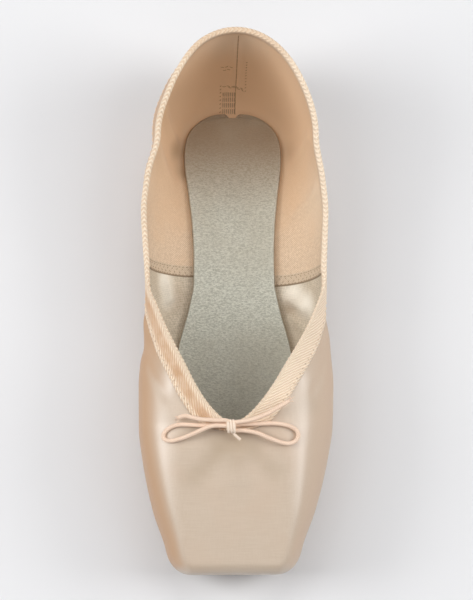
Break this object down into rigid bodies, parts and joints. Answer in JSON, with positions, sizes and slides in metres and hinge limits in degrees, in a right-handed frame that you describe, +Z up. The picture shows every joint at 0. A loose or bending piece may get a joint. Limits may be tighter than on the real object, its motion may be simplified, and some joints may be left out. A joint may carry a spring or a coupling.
{
  "type": "pointe shoe",
  "caption": "Satin pointe shoe with a flat-topped stiff box, taped low collar, suede insole, leather outsole and a small drawstring bow.",
  "frame": {"origin": "on the floor, under the middle of the shoe's length and width", "axes": "+Y from the toe to the heel, +Z up, +X to the right of someone looking from the toe to the heel"},
  "size_m": [0.0836, 0.232, 0.057],
  "materials": {
    "satin": "smooth satin, soft sheen",
    "sole_leather": "matt buffed sole leather",
    "suede": "grey-green brushed suede",
    "cotton_tape": "twill-woven cotton tape",
    "elastic_cord": "soft braided elastic cord"
  },
  "bodies": {
    "root": {"upper": "satin", "outsole": "sole_leather", "insole": "suede", "binding": "cotton_tape", "bow_knot": "elastic_cord", "bow_loop_left": "elastic_cord", "bow_loop_right": "elastic_cord", "bow_end_left": "elastic_cord", "bow_end_right": "elastic_cord"}
  },
  "joints": []
}
